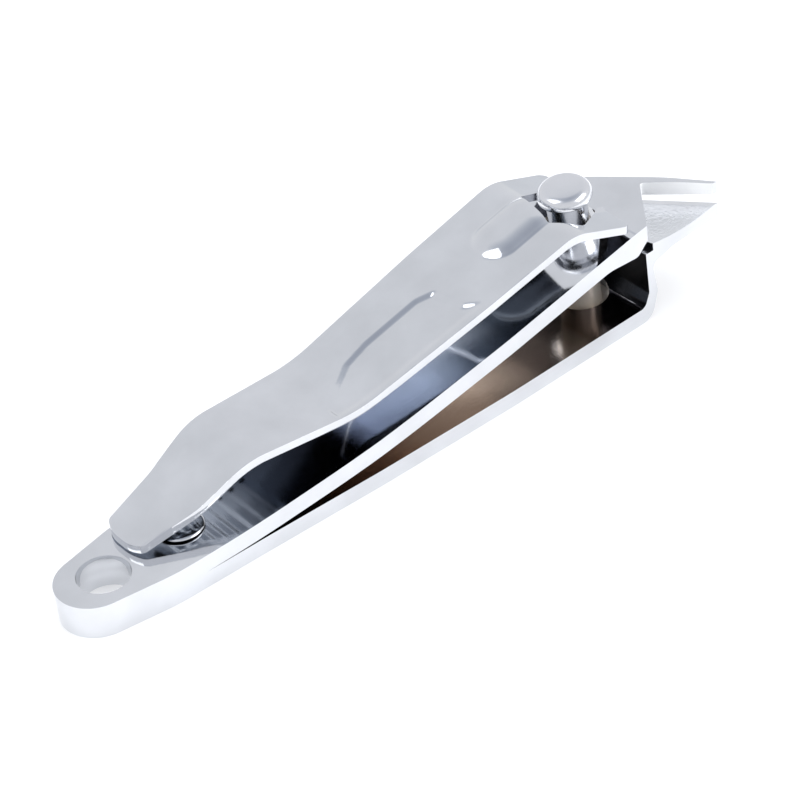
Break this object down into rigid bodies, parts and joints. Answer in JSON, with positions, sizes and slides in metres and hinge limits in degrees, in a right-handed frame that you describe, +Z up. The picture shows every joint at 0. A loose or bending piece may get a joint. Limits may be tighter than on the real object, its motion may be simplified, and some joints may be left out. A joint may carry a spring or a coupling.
{
  "type": "nail clipper",
  "caption": "Polished steel lever nail clipper with a slanted cutting edge, a turning pin and a flip-over thumb lever.",
  "frame": {"origin": "middle of the length and width, on the surface that the clipper lies on", "axes": "+X from the riveted tail to the jaws, +Y across, +Z up from the resting surface"},
  "size_m": [0.0802, 0.0136, 0.0161],
  "materials": {
    "chrome": "polished",
    "nickel": "satin"
  },
  "bodies": {
    "base": {"lower_leaf": "chrome", "tail_rivet": "chrome"},
    "top_leaf": {"upper_leaf": "chrome"},
    "turning_pin": {"pin": "nickel"},
    "thumb_lever": {"lever": "chrome"}
  },
  "joints": [
    {"name": "leaf_close", "type": "hinge", "parent": "base", "child": "top_leaf", "pos_m": [-0.0271, 0, 0.00182], "axis": [0, 1, 0], "range_deg": [0, 1.15], "stiffness_Nm_per_rad": 30},
    {"name": "pin_spin", "type": "hinge", "parent": "base", "child": "turning_pin", "pos_m": [0.02678, 0, 0.00036], "axis": [-0.0872, 0, 0.9962], "continuous": true},
    {"name": "lever_flip", "type": "hinge", "parent": "turning_pin", "child": "thumb_lever", "pos_m": [0.0279, -0.00007, 0.01235], "axis": [0.033, 0.9995, 0.0029], "range_deg": [0, 140]}
  ]
}
